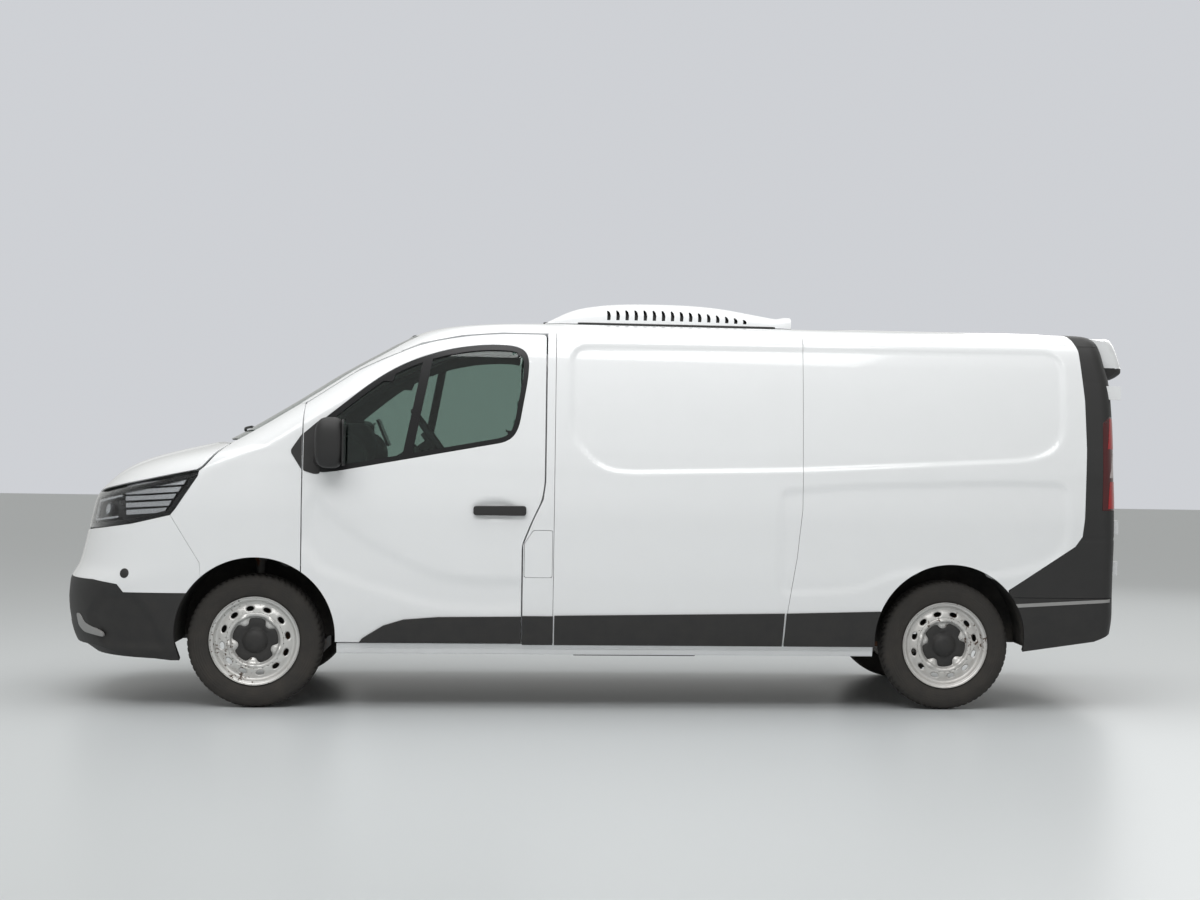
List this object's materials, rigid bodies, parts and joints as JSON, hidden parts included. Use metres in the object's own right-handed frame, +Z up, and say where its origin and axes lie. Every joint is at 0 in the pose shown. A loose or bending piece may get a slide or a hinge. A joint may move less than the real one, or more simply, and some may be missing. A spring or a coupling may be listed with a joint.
{
  "type": "refrigerated van",
  "caption": "Long low-roof refrigerated panel van with a roof cooling unit, opening cab doors, bonnet and rear doors, steered wheels and a hollow load space.",
  "frame": {"origin": "on the ground, below the middle of the overall box", "axes": "+X towards the rear, +Y towards the right side, +Z up; the driver sits on the -Y side"},
  "size_m": [5.4785, 2.266, 2.0832],
  "materials": {
    "white_paint": "glossy white body paint",
    "unit_shell": "white moulded hood",
    "black_plastic": "grained unpainted black plastic",
    "gloss_black": "gloss black",
    "tinted_glass": "green tinted safety glass",
    "lamp_glass": "clear cover over a dark lamp body",
    "red_lamp": "red lamp lens",
    "floor_panel": "primed floor panel",
    "chassis_steel": "black chassis paint",
    "arch_liner": "black moulded liner",
    "lining": "smooth wipe-clean lining",
    "cab_plastic": "dark grained cab plastic",
    "seat_fabric": "dark woven seat cloth",
    "engine_metal": "plain casting",
    "cast_metal": "dusty castings",
    "exhaust_steel": "dull steel with light rust",
    "tyre_rubber": "dusty tyre rubber",
    "wheel_steel": "silver painted steel, scuffed and rusty"
  },
  "bodies": {
    "root": {"underbody": "floor_panel", "frame_rails": "chassis_steel", "cab_frame": "white_paint", "sills": "white_paint", "wheel_arch_liners": "arch_liner", "left_side_panel": "white_paint", "left_quarter_panel": "white_paint", "sliding_door": "white_paint", "right_quarter_panel": "white_paint", "b_pillars": "white_paint", "roof": "white_paint", "windscreen": "tinted_glass", "front_wings": "white_paint", "bumper_cover": "white_paint", "front_bumper": "black_plastic", "grille": "gloss_black", "headlamps": "lamp_glass", "side_mouldings": "black_plastic", "bulkhead": "lining", "dashboard": "cab_plastic", "driver_seat": "seat_fabric", "passenger_bench": "seat_fabric", "engine": "engine_metal", "front_subframe": "chassis_steel", "rear_axle": "chassis_steel", "fuel_tank": "arch_liner", "exhaust": "exhaust_steel", "rear_bumper": "black_plastic", "corner_trims": "black_plastic", "tail_lamps": "red_lamp", "cooling_unit": "unit_shell", "hinges": "white_paint"},
    "left_front_door": {"left_door": "white_paint", "left_door_glass": "tinted_glass", "left_mirror": "black_plastic", "left_door_trim": "black_plastic"},
    "right_front_door": {"right_door": "white_paint", "right_door_glass": "tinted_glass", "right_mirror": "black_plastic", "right_door_trim": "black_plastic"},
    "engine_bonnet": {"bonnet": "white_paint"},
    "rear_door_left": {"left_rear_door": "white_paint", "brake_lamp_pod": "white_paint"},
    "rear_door_right": {"right_rear_door": "white_paint", "rear_spoiler": "white_paint"},
    "steering": {"steering_wheel": "cab_plastic"},
    "left_steer": {"left_knuckle": "cast_metal"},
    "right_steer": {"right_knuckle": "cast_metal"},
    "front_left_wheel": {"front_left_tyre": "tyre_rubber", "front_left_rim": "wheel_steel"},
    "front_right_wheel": {"front_right_tyre": "tyre_rubber", "front_right_rim": "wheel_steel"},
    "rear_left_wheel": {"rear_left_tyre": "tyre_rubber", "rear_left_rim": "wheel_steel"},
    "rear_right_wheel": {"rear_right_tyre": "tyre_rubber", "rear_right_rim": "wheel_steel"}
  },
  "joints": [
    {"name": "left_steering", "type": "hinge", "parent": "root", "child": "left_steer", "pos_m": [-1.726, -0.7355, 0.233], "axis": [0, 0.1858, 0.9826], "range_deg": [-35, 35]},
    {"name": "right_steering", "type": "hinge", "parent": "root", "child": "right_steer", "pos_m": [-1.726, 0.7355, 0.233], "axis": [0, -0.1858, 0.9826], "range_deg": [-35, 35]},
    {"name": "steering_wheel_turn", "type": "hinge", "parent": "root", "child": "steering", "pos_m": [-0.877, -0.43, 1.355], "axis": [0.809, 0, 0.5878], "range_deg": [-525, 525]},
    {"name": "front_left_spin", "type": "hinge", "parent": "left_steer", "child": "front_left_wheel", "pos_m": [-1.726, -0.8075, 0.334], "axis": [0, 1, 0], "continuous": true},
    {"name": "front_right_spin", "type": "hinge", "parent": "right_steer", "child": "front_right_wheel", "pos_m": [-1.726, 0.8075, 0.334], "axis": [0, 1, 0], "continuous": true},
    {"name": "rear_left_spin", "type": "hinge", "parent": "root", "child": "rear_left_wheel", "pos_m": [1.772, -0.814, 0.334], "axis": [0, 1, 0], "continuous": true},
    {"name": "rear_right_spin", "type": "hinge", "parent": "root", "child": "rear_right_wheel", "pos_m": [1.772, 0.814, 0.334], "axis": [0, 1, 0], "continuous": true},
    {"name": "left_door_hinge", "type": "hinge", "parent": "root", "child": "left_front_door", "pos_m": [-1.4985, -0.98, 0.9], "axis": [0, 0, -1], "range_deg": [0, 68]},
    {"name": "right_door_hinge", "type": "hinge", "parent": "root", "child": "right_front_door", "pos_m": [-1.4985, 0.98, 0.9], "axis": [0, 0, 1], "range_deg": [0, 68]},
    {"name": "left_rear_door_hinge", "type": "hinge", "parent": "root", "child": "rear_door_left", "pos_m": [2.694, -0.812, 1.2], "axis": [0, 0, -1], "range_deg": [0, 180]},
    {"name": "right_rear_door_hinge", "type": "hinge", "parent": "root", "child": "rear_door_right", "pos_m": [2.694, 0.812, 1.2], "axis": [0, 0, 1], "range_deg": [0, 180]},
    {"name": "bonnet_hinge", "type": "hinge", "parent": "root", "child": "engine_bonnet", "pos_m": [-1.85, 0, 1.332], "axis": [0, 1, 0], "range_deg": [0, 50]}
  ],
  "couplings": [
    {"joint": "right_steering", "follows": "left_steering", "ratio": 1},
    {"joint": "steering_wheel_turn", "follows": "left_steering", "ratio": 15}
  ]
}
